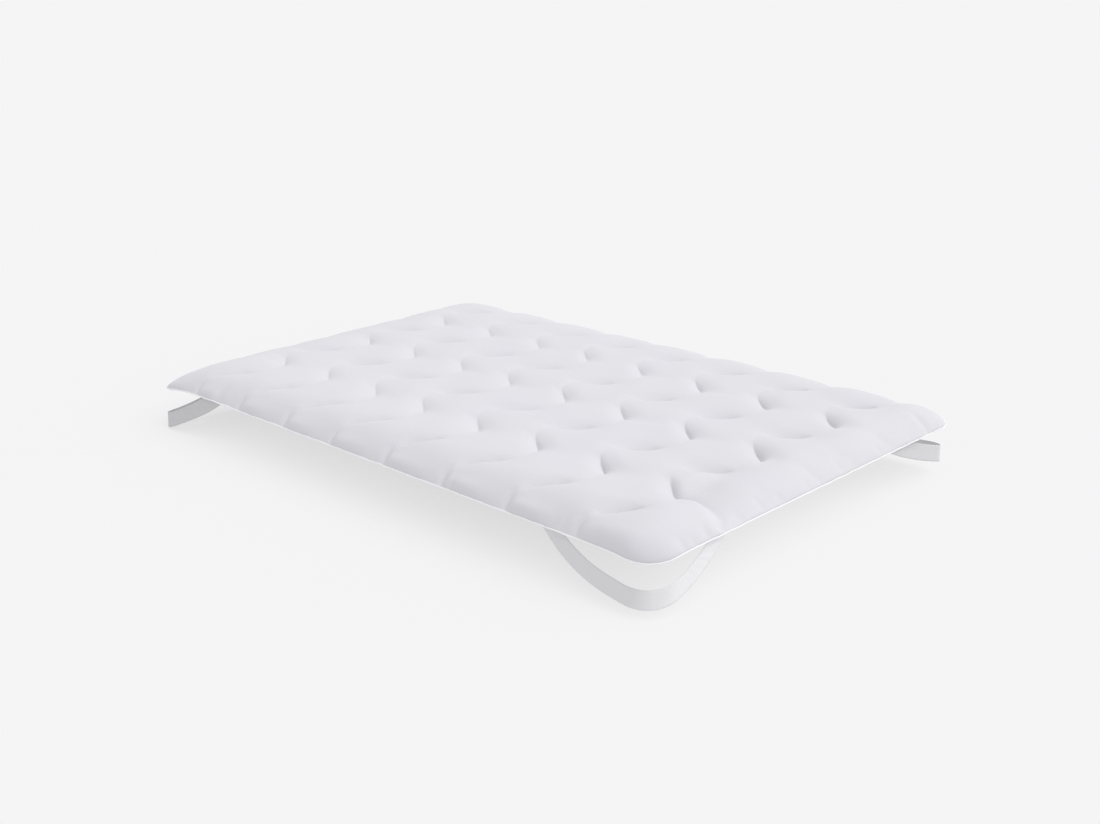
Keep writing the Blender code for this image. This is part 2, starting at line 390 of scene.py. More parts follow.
def add_mesh(name, points, quads, uv, finish):
    """A smooth closed mesh: points (n, 3), corners of faces (m, 4) and their UVs (m, 4, 2)."""
    if volume_inside(points, quads) < 0:
        quads, uv = quads[:, ::-1], uv[:, ::-1]
    mesh = bpy.data.meshes.new(name)
    mesh.vertices.add(len(points))
    mesh.vertices.foreach_set("co", np.ascontiguousarray(points, np.float32).ravel())
    mesh.loops.add(quads.size)
    mesh.loops.foreach_set("vertex_index", np.ascontiguousarray(quads, np.int32).ravel())
    mesh.polygons.add(len(quads))
    mesh.polygons.foreach_set("loop_start", np.arange(0, quads.size, 4, dtype=np.int32))
    mesh.update(calc_edges=True)
    layer = mesh.uv_layers.new(name="cloth")
    layer.data.foreach_set("uv", np.ascontiguousarray(uv, np.float32).ravel())
    mesh.shade_smooth()
    mesh.materials.append(finish)
    obj = bpy.data.objects.new(name, mesh)
    scene.collection.objects.link(obj)
    return obj


def smooth(t):
    """3 t^2 - 2 t^3: a smooth step from 0 to 1, and level before and after."""
    t = np.clip(t, 0, 1)
    return t**2 * (3 - 2 * t)


def soft_noise(x, y, size, seed):
    """Smooth unevenness from -1 to 1: eight long waves in different directions, added up."""
    draw = np.random.default_rng(seed)
    turn = draw.uniform(0, 2 * math.pi, 8)
    start = draw.uniform(0, 2 * math.pi, 8)
    stretch = draw.uniform(0.7, 1.5, 8)
    total = 0.0
    for angle, phase, factor in zip(turn, start, stretch):
        way = (x * math.cos(angle) + y * math.sin(angle)) / (size * factor)
        total = total + np.sin(2 * math.pi * way + phase)
    return total / 4


# %% [markdown]
# ## Where the stitches run
#
# Eight rows of stitches cross the topper from front to back. Each swings from side to side in a
# sine wave, in step with its neighbours. Where a row slants to the left as it goes back, the
# filled channels press on it, which moves it a little and bends its ends into hooks.
#
# The columns of the grid follow these rows, so that every row of stitches lies on a line of
# points. Between two rows the columns are `t - c sin(2 pi t) / (2 pi)` of the way across, which
# crowds them by the stitches, where the cloth is steep.

# %% The plan of the quilting
CORNER_RADIUS = 0.0853
SEAM_MIDDLES = (-0.732, -0.5125, -0.291, -0.0825, 0.141, 0.3635, 0.590, 0.8145)
EDGE_IN_PIPING = 0.0020
WAVE_LENGTH = 0.341
WAVE_SWING = 0.054
WAVE_START = 0.293
WAVE_PINCH = 0.009
WAVE_HOOK = 0.006
COLUMNS_IN_STRIP = 28
CROWDING = 0.6
ROWS_IN_CORNER = 14
ROWS_BETWEEN = 164

SEAMS = len(SEAM_MIDDLES)
WAVE_SLOPE = 2 * math.pi * WAVE_SWING / WAVE_LENGTH
half_length = body_high.x + EDGE_IN_PIPING
half_width = body_high.y + EDGE_IN_PIPING
corner_x = half_length - CORNER_RADIUS
corner_y = half_width - CORNER_RADIUS


def wave_phase(y):
    """Place along the wave, in radians: a full turn to each wave length from the front edge."""
    return 2 * math.pi * (y - piping_low.y - WAVE_START) / WAVE_LENGTH


def seam_x(number, y):
    """X of a row of stitches: its middle line less a sine, moved and hooked on the left slants."""
    phase = wave_phase(y)
    slant = np.maximum(np.cos(phase), 0)
    swing = WAVE_SWING * np.sin(phase) + WAVE_HOOK * np.sin(2 * phase) * slant**2
    return SEAM_MIDDLES[number] - swing + WAVE_PINCH * slant**5


def rounded_reach(way, straight, corner):
    """Half the width at a distance from the middle, drawn in round the corner by a circle."""
    past = np.maximum(np.abs(way) - corner, 0.0)
    return straight - CORNER_RADIUS + np.sqrt(np.maximum(CORNER_RADIUS**2 - past**2, 0.0))


def crowded(steps):
    """Shares from 0 to 1, closer together at both ends."""
    t = np.arange(steps + 1) / steps
    return t - CROWDING * np.sin(2 * math.pi * t) / (2 * math.pi)


def plan(columns_in_strip, rows_in_corner, rows_between):
    """Strip and share of each column, and x and y of each point of the grid."""
    shares = crowded(columns_in_strip)
    strip = np.append(np.repeat(np.arange(SEAMS + 1), columns_in_strip), SEAMS)
    share = np.append(np.tile(shares[:-1], SEAMS + 1), 1.0)
    angle = np.arange(rows_in_corner) * (math.pi / 2 / rows_in_corner)
    corner = half_width - CORNER_RADIUS * (1 - np.cos(angle))
    straight = np.linspace(-corner_y, corner_y, rows_between + 1)
    rows = np.concatenate((-corner, straight, corner[::-1]))
    side = rounded_reach(rows, half_length, corner_y)
    lines = np.stack([-side] + [seam_x(k, rows) for k in range(SEAMS)] + [side])
    x = lines[strip] + (lines[strip + 1] - lines[strip]) * share[:, None]
    return strip[:, None], share[:, None], x, np.broadcast_to(rows, x.shape)


strip, share, plan_x, plan_y = plan(COLUMNS_IN_STRIP, ROWS_IN_CORNER, ROWS_BETWEEN)
print("plan", plan_x.shape, "points, about", round(2000 * half_length / len(plan_x), 1), "mm apart")

# %% [markdown]
# ## How high the fibre puffs
#
# Across a channel the height follows `(1 - (1 - f)^n)^p`, where f is 0 at the stitches and 1 in
# the middle. Two of these are added up: a low wide arch over the whole channel, with n of 2.5,
# and a narrow pit along the thread, with a large n. Where the wave slants, two channels pull on
# the thread and the pit is deep; at its peaks the thread is slack and leaves almost no trace. A
# pit is wider on the inner side of each turn. The fibre also leans to the front, so p, which
# sets how steep a flank is, differs on the two sides.
#
# The stretches that slant to the left as they go back are called bends here, because the eye
# sees them as short hooks, and those that slant to the right are runs. The depth of both changes
# from the left end of the topper to its right end.

# %% Height across a channel
CROWN_HEIGHT = 0.066
ARCH_AT_PEAK = 0.0005
BEND_ARCH = 0.0145
RUN_ARCH = 0.0050
BEND_PIT = 0.0150
RUN_PIT = 0.0080
RUN_EARLY = 0.22
RUN_GATE = (0.62, 0.90)
DEPTH_PLACES = (-1.0, -0.30, 0.15, 0.60, 1.0)
BEND_SHARES = (0.45, 0.30, 0.47, 0.78, 1.02)
RUN_SHARES = (0.70, 0.50, 0.60, 0.90, 1.25)
BACK_PULL = 0.009
BACK_PULL_REACH = 0.120
ARCH_ROUND = 2.5
PIT_ROUND = 7.0
PIT_TURN = 1.0
PUFF_POWER = 0.80
LEAN = 0.25
LAST_LEAN = 0.50
UNEVEN_FILL = 0.0022
LUMP_SPACING = 0.22


def across_channel(strip, share):
    """0 on a row of stitches and 1 in the middle of a channel; the outer strips stay at 1."""
    inner = np.minimum(share, 1 - share) * 2
    left = np.minimum((1 - share) * 2, 1.0)
    right = np.minimum(share * 2, 1.0)
    return np.where(strip == 0, left, np.where(strip == SEAMS, right, inner))


def puff(f, power=PUFF_POWER, roundness=ARCH_ROUND):
    """Height across a channel: 0 at the stitches, steep beside them, 1 along the middle."""
    return (1 - (1 - np.clip(f, 0, 1)) ** roundness) ** power


def channel_height(x, y, strip, share):
    """Height of the channels: the crown less an arch and a pit, before the edge pulls it down."""
    f = across_channel(strip, share)
    phase = wave_phase(y)
    at_bend = np.maximum(np.cos(phase), 0)
    at_run = np.maximum(-np.cos(phase + RUN_EARLY), 0)
    bend_share = np.interp(x, DEPTH_PLACES, BEND_SHARES)
    run_share = np.interp(x, DEPTH_PLACES, RUN_SHARES)
    # how far the thread sinks: a wide arch everywhere, and a narrow pit in it at bends and runs
    at_peak = ARCH_AT_PEAK + BACK_PULL * np.exp(-(((y - half_width) / BACK_PULL_REACH) ** 2))
    arch = at_peak + bend_share * BEND_ARCH * at_bend**4 + run_share * RUN_ARCH * at_run**6
    run_pit = RUN_PIT * smooth((at_run - RUN_GATE[0]) / (RUN_GATE[1] - RUN_GATE[0]))
    pit = bend_share * BEND_PIT * at_bend**5 + run_share * run_pit
    # how the cloth rises from the thread on its two sides
    flank = np.where(share < 0.5, 1, -1)
    power = PUFF_POWER + LEAN * np.cos(phase) * flank + LAST_LEAN * (strip == SEAMS)
    narrow = PIT_ROUND * np.exp(-PIT_TURN * flank * at_bend * np.sin(phase))
    squeezed = (1 + (WAVE_SLOPE * np.cos(phase)) ** 2) ** -0.25
    sunk = arch * (1 - squeezed * puff(f, power)) + pit * (1 - puff(f, power, narrow))
    return CROWN_HEIGHT + UNEVEN_FILL * (soft_noise(x, y, LUMP_SPACING, 3) - 1) - sunk


# %% [markdown]
# ## The edge, the folds and the tucks
#
# At the edge the cloth rolls down to the piping in a quarter of an ellipse. The roll is long at
# the left side and at the back, where the fill is thin. At the front each channel stands up as a
# steep wall right beside a row of stitches, and the wall gets lower towards the next row, so it
# shows a dark crescent between two notches. Only at the near corner does it rise instead. From
# the last row a valley runs out to the right edge. Where the straps are sewn on, they pull small
# tucks into the roll.

# %% Height of the top
PIPED_EDGE = 0.010
FRONT_SLOPE = 0.130
SLOPE_ROUND = 2.0
WALL_PLACES = (-1.0, 0.0, 0.70, 1.0)
WALL_SHARES = (0.36, 0.52, 0.66, 0.60)
WALL_AT_CORNER = (0.30, 0.95)
WALL_REACH = (0.034, 0.060)
WALL_DEPTH = (0.034, 0.200)
WALL_STEP = 0.080
BACK_ROLL = (0.230, 0.150)
BACK_ROLL_PLACES = (-0.30, 0.30)
LEFT_ROLL = 0.240
RIGHT_ROLL = 0.110
LEFT_FLATNESS = 0.95
RIGHT_FLATNESS = 0.70
NOTCH = 0.50
NOTCH_REACH = 0.020
NOTCH_WIDTH = 0.26
NO_ROLL = 2e-4
FOLDS = (
    # start, end, rise of the line between them, depth, width in front, width behind
    ((0.800, -0.385), (1.005, -0.425), 0.035, 0.028, 0.026, 0.150),
    ((-0.820, -0.600), (-0.730, -0.455), 0.000, 0.004, 0.006, 0.030),
)
TUCKS = (
    # edge, place along it, half width, reach inwards, share of the height that it takes
    ("front", 0.345, 0.008, 0.030, 0.22),
    ("front", 0.668, 0.006, 0.026, 0.30),
    ("front", 0.690, 0.006, 0.034, 0.35),
    ("front", 0.716, 0.006, 0.028, 0.30),
    ("front", 0.815, 0.010, 0.024, 0.20),
    ("right", -0.559, 0.010, 0.014, 0.40),
    ("right", -0.525, 0.007, 0.012, 0.25),
    ("right", -0.476, 0.010, 0.016, 0.35),
    ("right", -0.425, 0.012, 0.024, 0.45),
    ("right", 0.520, 0.014, 0.045, 0.25),
    ("front", -0.680, 0.012, 0.050, 0.30),
    ("left", -0.390, 0.014, 0.060, 0.25),
    ("left", 0.400, 0.012, 0.060, 0.25),
    ("back", 0.675, 0.012, 0.060, 0.25),
    ("back", -0.690, 0.010, 0.060, 0.25),
)


def dome(distance, reach, flatness=0.5):
    """Height of a quarter ellipse: 0 at the edge, 1 from reach on; a flatter one is a parabola."""
    return np.maximum(1 - (1 - np.clip(distance / reach, 0, 1)) ** 2, 1e-8) ** flatness


def folds(x, y):
    """Depth of the folds: each a bell across a bowed line, narrow in front and wide behind."""
    total = 0.0
    for start, end, rise, depth, in_front, behind in FOLDS:
        t = (x - start[0]) / (end[0] - start[0])
        away = y - (start[1] + (end[1] - start[1]) * t + rise * 4 * t * (1 - t))
        width = np.where(away > 0, behind, in_front)
        fade = smooth(t * 4) * smooth(5 - t * 4)
        total = total + depth * fade * np.exp(-((away / width) ** 2))
    return total


def tucked(x, y):
    """Share of its height that the roll keeps: 1 less a small bell at each tuck."""
    edge = {
        "front": (x, y + half_width),
        "back": (x, half_width - y),
        "left": (y, x + half_length),
        "right": (y, half_length - x),
    }
    kept = 1.0
    for side, place, half, reach, strength in TUCKS:
        along, inwards = edge[side]
        bell = np.exp(-(((along - place) / half) ** 2) - (inwards / reach) ** 2)
        kept = kept * (1 - strength * bell)
    return kept


def front_roll(x, to_end, strip, share):
    """A gentle slope with a steep wall on it, which starts at a seam and dwindles to the next."""
    start = np.interp(x, WALL_PLACES, WALL_SHARES)
    last = strip == SEAMS
    at_corner = share * last
    rising = WALL_AT_CORNER[0] + (WALL_AT_CORNER[1] - WALL_AT_CORNER[0]) * share**0.8
    dwindled = np.where(last, rising, start * (1 - share))
    reach = WALL_REACH[0] + (WALL_REACH[1] - WALL_REACH[0]) * at_corner
    depth = WALL_DEPTH[0] + (WALL_DEPTH[1] - WALL_DEPTH[0]) * at_corner
    wall = dwindled * (1 - np.exp(-share / WALL_STEP)) * np.exp(-((to_end / depth) ** 2))
    gentle = 1 - (1 - np.clip(to_end / FRONT_SLOPE, 0, 1)) ** SLOPE_ROUND
    return gentle + wall * (dome(to_end, reach) - gentle)


def top_height(x, y, strip, share):
    """Height of the top: the channels less the folds, rolled down to the piping.

    Near a corner two rolls meet. Their heights a and b are joined as (a^-3 + b^-3 - 1)^(-1/3),
    which is the lower one of them where the other is 1, and lower than both in between.
    """
    to_end = rounded_reach(x, half_width, corner_x) - np.abs(y)
    to_side = rounded_reach(y, half_length, corner_y) - np.abs(x)
    at_back = dome(to_end, np.interp(x, BACK_ROLL_PLACES, BACK_ROLL))
    at_left = dome(to_side, LEFT_ROLL, LEFT_FLATNESS)
    at_right = dome(to_side, RIGHT_ROLL, RIGHT_FLATNESS)
    by_end = np.where(y < 0, front_roll(x, to_end, strip, share), at_back)
    by_side = np.where(x < 0, at_left, at_right)
    roll = (by_end**-3 + by_side**-3 - 1) ** (-1 / 3)
    roll = np.where(roll < NO_ROLL, 0, roll) * tucked(x, y)
    narrow = 1 - puff(across_channel(strip, share) / NOTCH_WIDTH, 1.0)
    roll = roll * (1 - NOTCH * narrow * np.exp(-((to_end / NOTCH_REACH) ** 2)))
    middle = channel_height(x, y, strip, share) - folds(x, y)
    return PIPED_EDGE + (middle - PIPED_EDGE) * roll


top_z = top_height(plan_x, plan_y, strip, share)
print("top from", round(top_z.min(), 4), "to", round(top_z.max(), 4))

# %% [markdown]
# ## The underside
#
# Below, the cloth runs in from the piping as a thin border and then lies flat on the mattress.
# The stitches come out here as well, in shallow grooves. The straps pull the corners down and a
# little aside, together with the piping, so the same pulls move every piece.

# %% Height of the underside
PULLS = (
    # side in x, side in y, way of the pull in x, y and z, its reach
    (-1, -1, -0.002, -0.002, -0.021, 0.115),
    (1, -1, -0.008, 0.002, -0.013, 0.080),
    (1, 1, 0.0, 0.0, -0.003, 0.080),
    (-1, 1, -0.016, -0.020, 0.002, 0.450),
)
RIM_INSET = (0.0, 0.0030, 0.0120, 0.0280)
RIM_HEIGHT = (PIPED_EDGE, 0.0054, 0.0048, 0.0)
GROOVE_DEPTH = 0.0030
GROOVE_REACH = 0.22


def inset(x, y):
    """Distance in from the outline, a rectangle with rounded corners."""
    past_x, past_y = np.abs(x) - corner_x, np.abs(y) - corner_y
    outside = np.hypot(np.maximum(past_x, 0), np.maximum(past_y, 0))
    return CORNER_RADIUS - outside - np.minimum(np.maximum(past_x, past_y), 0)


def under_height(x, y, strip, share):
    """Height of the underside: its border by distance from the edge, and its grooves."""
    groove = GROOVE_DEPTH * (1 - puff(across_channel(strip, share) / GROOVE_REACH, 0.6))
    return np.interp(inset(x, y), RIM_INSET, RIM_HEIGHT) + groove


under_z = under_height(plan_x, plan_y, strip, share)
print("underside from", round(under_z.min(), 4), "to", round(under_z.max(), 4))


# %% Sew top and underside together
def filled_body(name, top, under, finish):
    """One closed mesh: a grid for the top, and one for the underside that shares its border."""
    columns, rows = top.shape[:2]
    top_index = np.arange(columns * rows).reshape(columns, rows)
    inner = (columns - 2, rows - 2)
    under_index = top_index.copy()
    under_index[1:-1, 1:-1] = columns * rows + np.arange(inner[0] * inner[1]).reshape(inner)
    quads = np.concatenate((cells(top_index), cells(under_index)[:, ::-1]))
    points = np.concatenate((top.reshape(-1, 3), under[1:-1, 1:-1].reshape(-1, 3)))
    u, v = lengths(top, 0), lengths(top, 1)
    u, v = u - u[columns // 2], v - v[:, [rows // 2]]
    uv = np.concatenate((cells(np.stack((u, v), -1)), cells(under[..., :2])[:, ::-1]))
    return add_mesh(name, points, quads, uv, finish)


def drooped(points):
    """The points after the pulls: each moves by a bell of its distance to the pulled corner."""
    moved = points.copy()
    for side_x, side_y, *pull, reach in PULLS:
        away = np.hypot(points[..., 0] - side_x * half_length, points[..., 1] - side_y * half_width)
        moved += np.exp(-((away / reach) ** 2))[..., None] * np.array(pull)
    return moved


def give_values(obj, name, values):
    """Keep a number for each point of a mesh, which its finish can read."""
    attribute = obj.data.attributes.new(name, "FLOAT", "POINT")
    attribute.data.foreach_set("value", values.astype(np.float32))


# %% [markdown]
# ## Let the cloth find its shape
#
# Formulas give tidy puffs, and cloth is not tidy. Where a thread holds it, the cloth beside it
# has a little more length than room, so it buckles into puckers. Blender's Cloth does this: we
# give it a coarse copy of the body, a little too large, hold the edge and the stitches that are
# tight, which are those of the pits and the runs, and blow it up. Only the way each point moved
# is kept. It is limited, made finer by a cubic rule and added to the tidy shape.

# %% Simulate a coarse copy
AIR_PRESSURE = 4.0
EXTRA_CLOTH = 0.004
CLOTH_STIFFNESS = 15.0
BENDING_STIFFNESS = 5.0
CLOTH_FRAMES = 20
FURTHEST_MOVE = 0.006
TIGHT_FROM = 0.75


def tight(y):
    """Whether the thread is tight: where the cosine of the phase is near 1 or -1."""
    return (np.cos(wave_phase(y)) > TIGHT_FROM) | (np.cos(wave_phase(y) + RUN_EARLY) < -TIGHT_FROM)


def settled(columns_in_strip, rows_in_corner, rows_between):
    """How far each point of a coarse top moves when air fills it and the stitches hold it."""
    strip, share, x, y = plan(columns_in_strip, rows_in_corner, rows_between)
    top = np.stack((x, y, top_height(x, y, strip, share)), -1)
    under = np.stack((x, y, under_height(x, y, strip, share)), -1)
    body = filled_body("settling", top, under, cover_finish)
    sewn = np.zeros(x.shape, bool)
    sewn[::columns_in_strip] = tight(y[::columns_in_strip])
    sewn[:, [0, -1]] = True
    held = np.concatenate((np.flatnonzero(sewn), np.arange(x.size, len(body.data.vertices))))
    body.vertex_groups.new(name="held").add(held.tolist(), 1.0, "REPLACE")
    cloth = body.modifiers.new("cloth", "CLOTH")
    cloth.settings.vertex_group_mass = "held"
    cloth.settings.use_pressure = True
    cloth.settings.uniform_pressure_force = AIR_PRESSURE
    cloth.settings.shrink_min = -EXTRA_CLOTH
    cloth.settings.tension_stiffness = CLOTH_STIFFNESS
    cloth.settings.compression_stiffness = CLOTH_STIFFNESS
    cloth.settings.bending_stiffness = BENDING_STIFFNESS
    cloth.settings.effector_weights.gravity = 0.0
    cloth.point_cache.frame_end = CLOTH_FRAMES
    for number in range(1, CLOTH_FRAMES + 1):
        scene.frame_set(number)
    blown = body.evaluated_get(bpy.context.evaluated_depsgraph_get()).data
    places = np.empty(len(blown.vertices) * 3, np.float32)
    blown.vertices.foreach_get("co", places)
    scene.frame_set(1)
    bpy.data.objects.remove(body, do_unlink=True)
    return places.reshape(-1, 3)[: x.size].reshape(top.shape) - top


def limited(move, furthest):
    """The same direction, but never further: d / (1 + (d / furthest)^2)^0.5."""
    size = np.linalg.norm(move, axis=-1, keepdims=True)
    return move / np.sqrt(1 + (size / furthest) ** 2)


def finer(values, axis):
    """Twice as many steps along an axis; a new point is (-1, 9, 9, -1) / 16 of its neighbours."""
    v = np.moveaxis(values, axis, 0)
    long = np.concatenate((2 * v[:1] - v[1:2], v, 2 * v[-1:] - v[-2:-1]))
    fine = np.empty((2 * len(v) - 1,) + v.shape[1:])
    fine[::2] = v
    fine[1::2] = (9 * (long[1:-2] + long[2:-1]) - long[:-3] - long[3:]) / 16
    return np.moveaxis(fine, 0, axis)


move = settled(COLUMNS_IN_STRIP // 2, ROWS_IN_CORNER // 2, ROWS_BETWEEN // 2)
print("cloth moved up to", round(float(np.abs(move).max()) * 1000, 1), "mm before the limit")
move = finer(finer(limited(move, FURTHEST_MOVE), 0), 1)


# %% Build the cover
def seam_distance(x, y):
    """Distance to the nearest row of stitches: the gap in x, less where the row slants."""
    gap = np.min([np.abs(x - seam_x(k, y)) for k in range(SEAMS)], axis=0)
    return gap / np.sqrt(1 + (WAVE_SLOPE * np.cos(wave_phase(y))) ** 2)


top = drooped(np.stack((plan_x, plan_y, top_z), -1) + move)
under = drooped(np.stack((plan_x, plan_y, under_z), -1))
cover = filled_body("quilted_cover", top, under, cover_finish)
to_seam = seam_distance(plan_x, plan_y)
give_values(cover, "seam_distance", np.concatenate((to_seam.ravel(), to_seam[1:-1, 1:-1].ravel())))
print("cover", len(cover.data.polygons) * 2, "triangles")

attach(cover, "root")
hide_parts("quilted_body")

# %% [markdown]
# ## Piping
#
# The piping is a cord in a strip of cloth, sewn into the edge all the way round. Its path is
# the outline moved outwards: four straight sides and four arcs. The direction that it faces and
# the middle of the arc that it turns on change in straight lines along the path, so three
# interpolations give the whole run. A real one is never quite even, so its path and its
# thickness waver a little.

# %% Lay the piping round the edge
PIPING_RADIUS = (piping_high.z - piping_low.z) / 2
PIPING_STEPS = 1500
PIPING_SIDES = 14
PIPING_WAVER = 0.0007
CORD_WAVER = 0.07

piping_out = piping_high.x - PIPING_RADIUS - half_length


def edge_path(out, steps):
    """Points on the outline moved outwards, the ways out there, and the length to each."""
    arc = (CORNER_RADIUS + out) * math.pi / 2
    stretches = [0, 2 * corner_y, arc, 2 * corner_x, arc] + [2 * corner_y, arc, 2 * corner_x, arc]
    corners = np.cumsum(stretches)
    way = np.arange(steps) / steps * corners[-1]
    angle = np.interp(way, corners, np.array([0, 0, 1, 1, 2, 2, 3, 3, 4]) * math.pi / 2)
    centre_x = np.interp(way, corners, np.array([1, 1, 1, -1, -1, -1, -1, 1, 1]) * corner_x)
    centre_y = np.interp(way, corners, np.array([-1, 1, 1, 1, 1, -1, -1, -1, -1]) * corner_y)
    ways_out = np.stack((np.cos(angle), np.sin(angle), np.zeros(steps)), -1)
    centres = np.stack((centre_x, centre_y, np.full(steps, PIPED_EDGE)), -1)
    return centres + ways_out * (CORNER_RADIUS + out), ways_out, way


def waver(way, length, seed):
    """Unevenness along a closed run, from -1 to 1: sines with whole numbers of waves."""
    draw = np.random.default_rng(seed)
    turns = draw.integers(10, 140, 8)
    start = draw.uniform(0, 2 * math.pi, 8)
    return np.sin(2 * math.pi * way[:, None] / length * turns + start).sum(1) / 4


path, ways_out, way = edge_path(piping_out, PIPING_STEPS)
run = float(np.linalg.norm(np.diff(closed(path, 0), axis=0), axis=1).sum())
path = drooped(path)
path[:, 2] += PIPING_WAVER * waver(way, run, 11)
radius = PIPING_RADIUS * (1 + CORD_WAVER * waver(way, run, 12))
around = np.arange(PIPING_SIDES) / PIPING_SIDES * 2 * math.pi
spoke = np.cos(around)[:, None] * ways_out[:, None] + np.sin(around)[:, None] * np.array((0, 0, 1))
tube = path[:, None] + spoke * radius[:, None, None]
index = closed(closed(np.arange(tube.shape[0] * PIPING_SIDES).reshape(tube.shape[:2]), 0), 1)
u = np.linspace(0, run, PIPING_STEPS + 1)
v = np.linspace(0, 2 * math.pi * PIPING_RADIUS, PIPING_SIDES + 1)
uv = cells(np.stack(np.meshgrid(u, v, indexing="ij"), -1))
piping = add_mesh("piping", tube.reshape(-1, 3), cells(index), uv, piping_finish)
print("piping", round(run, 3), "m long")

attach(piping, "root")
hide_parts("edge_piping")

# %% [markdown]
# ## Elastic straps
#
# A strap is sewn under the edge on both sides of a corner and hangs between in a bow. Its lower
# edge sinks by `1 - |t|^bow`, where t runs from -1 to 1, and a larger bow makes a flatter
# bottom and a steeper leg. Seen from above it keeps under the edge and turns the corner in an
# arc. The two faces are one grid, offset to both sides of the middle, and it is closed round
# its edges. The elastic hangs in the air, so its lower edge flares and it ripples near the
# stitches. Each leg gets its own painted shade, a grey over the elastic: most on the front left
# strap, none on the near strap's right leg, which faces the sun.

# %% Hang a strap round each corner
STRAP_WIDTH = 0.048
STRAP_THICKNESS = 0.0016
STRAP_INSET = 0.0107
STRAP_TOP = 0.0045
STRAP_STEPS = 180
STRAP_LINES = 15
STRAP_FLARE = 0.0020
STRAP_RIPPLE = 0.0007
RIPPLE_LENGTH = 0.022
RIPPLE_FADE = 0.05
# where along the strap the painted shade changes from one leg to the other
PAINTED_SHADE_CHANGE = (-0.15, 0.05)
STRAPS = (
    # name, side in x, side in y, reach in x, reach in y, drop, lowest place, bow x, bow y, radius
    ("strap_front_right", 1, -1, 0.330, 0.262, 0.108, 0.0, 2.9, 2.2, 0.085),
    ("strap_front_left", -1, -1, 0.335, 0.310, 0.128, 0.06, 1.8, 3.0, 0.045),
    ("strap_back_right", 1, 1, 0.330, 0.345, 0.116, -0.09, 3.0, 1.5, 0.075),
    ("strap_back_left", -1, 1, 0.320, 0.290, 0.110, 0.0, 2.2, 2.4, 0.070),
)
PAINTED_LEG_SHADE = {
    # painted shade of the leg under the long side and of the one under the short side
    "strap_front_right": (0.55, 0.0),
    "strap_front_left": (1.0, 0.8),
    "strap_back_right": (0.5, 0.7),
    "strap_back_left": (0.7, 0.7),
}


def below_edge(side_x, side_y, along, z, radius):
    """Points and ways out on the strap's line; along is the way from the middle of the corner."""
    arc = radius * math.pi / 4
    angle = math.pi / 4 + np.clip(along, -arc, arc) / radius
    x = piping_high.x - STRAP_INSET - radius * (1 - np.sin(angle)) - np.maximum(-along - arc, 0)
    y = piping_high.y - STRAP_INSET - radius * (1 - np.cos(angle)) - np.maximum(along - arc, 0)
    ways_out = np.stack((side_x * np.sin(angle), side_y * np.cos(angle), 0 * angle), -1)
    return np.stack((side_x * x, side_y * y, z + 0 * along), -1), ways_out


def strap_sheet(side_x, side_y, reach_x, reach_y, drop, lowest, bow_x, bow_y, radius):
    """Middle surface of a strap, (steps, lines, 3), and its ways out."""
    saving = radius * (1 - math.pi / 4)
    t = np.linspace(-1, 1, STRAP_STEPS + 1)[:, None]
    up = np.linspace(0, 1, STRAP_LINES)[None]
    reach = np.where(t < 0, reach_x + lowest - saving, reach_y - lowest - saving)
    bow = np.where(t < 0, bow_x, bow_y)
    hang = 1 - np.abs(t) ** bow
    end_slope = bow * drop / reach
    end_width = STRAP_WIDTH * np.sqrt(1 + end_slope**-2)
    along = lowest + t * (reach - end_width * up)
    z = STRAP_TOP - (drop + STRAP_TOP - STRAP_WIDTH * up) * hang
    points, ways_out = below_edge(side_x, side_y, along, z, radius)
    to_end = (1 - np.abs(t)) * reach
    ripple = np.sin(2 * math.pi * to_end / RIPPLE_LENGTH) * np.exp(-to_end / RIPPLE_FADE)
    flare = STRAP_FLARE * (1 - up) ** 2 * hang + STRAP_RIPPLE * ripple * hang**0.25
    return drooped(points + ways_out * flare[..., None]), ways_out


def band(name, middle, ways_out, finish):
    """A closed thin band: an outer and an inner face, their edges and two ends."""
    steps, lines = middle.shape[:2]
    place = np.linspace(-1, 1, lines)
    half = STRAP_THICKNESS / 2 * (1 - 0.5 * place**10)[None, :, None]
    loop = np.concatenate((middle + ways_out * half, (middle - ways_out * half)[:, ::-1]), 1)
    index = np.arange(steps * 2 * lines).reshape(steps, 2 * lines)
    start = np.stack((index[0, :lines], index[0, :lines - 1:-1]))
    end = np.stack((index[-1, :lines - 1:-1], index[-1, :lines]))
    quads = np.concatenate((cells(closed(index, 1)), cells(start), cells(end)))
    u = closed(np.broadcast_to(lengths(middle, 0).mean(1)[:, None], index.shape), 1)
    v = np.concatenate((np.linspace(0, STRAP_WIDTH, lines), np.linspace(STRAP_WIDTH, 0, lines), [0]))
    uv = cells(np.stack((u, np.broadcast_to(v, u.shape)), -1))
    caps = np.zeros((2 * (lines - 1), 4, 2))
    return add_mesh(name, loop.reshape(-1, 3), quads, np.concatenate((uv, caps)), finish)


for node, *sizes in STRAPS:
    middle, ways_out = strap_sheet(*sizes)
    strap = band("elastic_" + node, middle, ways_out, elastic_finish)
    # painted shade of each point, kept under the name stretch for the finish
    stretch = np.interp(np.linspace(-1, 1, STRAP_STEPS + 1), PAINTED_SHADE_CHANGE, PAINTED_LEG_SHADE[node])
    give_values(strap, "stretch", np.repeat(stretch, 2 * STRAP_LINES))
    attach(strap, "root")
    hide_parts(node)

# %% [markdown]
# ## Stitches
#
# Each stitch is a short thread that comes out of the cloth, lies on it and goes back in. All
# stitches of a row are worked out at once: a row of middles along the path, five stations on
# each, and a square of four points round every station. The ends dip below the cloth.

# %% Sew the rows
STITCH_PITCH = 0.0055
STITCH_LENGTH = 0.0044
STITCH_LIFT = 0.0001
STITCH_DIP = 0.0008
THREAD_RADIUS = 0.00030
THREAD_SIDE = 0.0005
TOP_MARGIN = 0.010
UNDER_MARGIN = 0.034
STATIONS = np.linspace(-1, 1, 5)


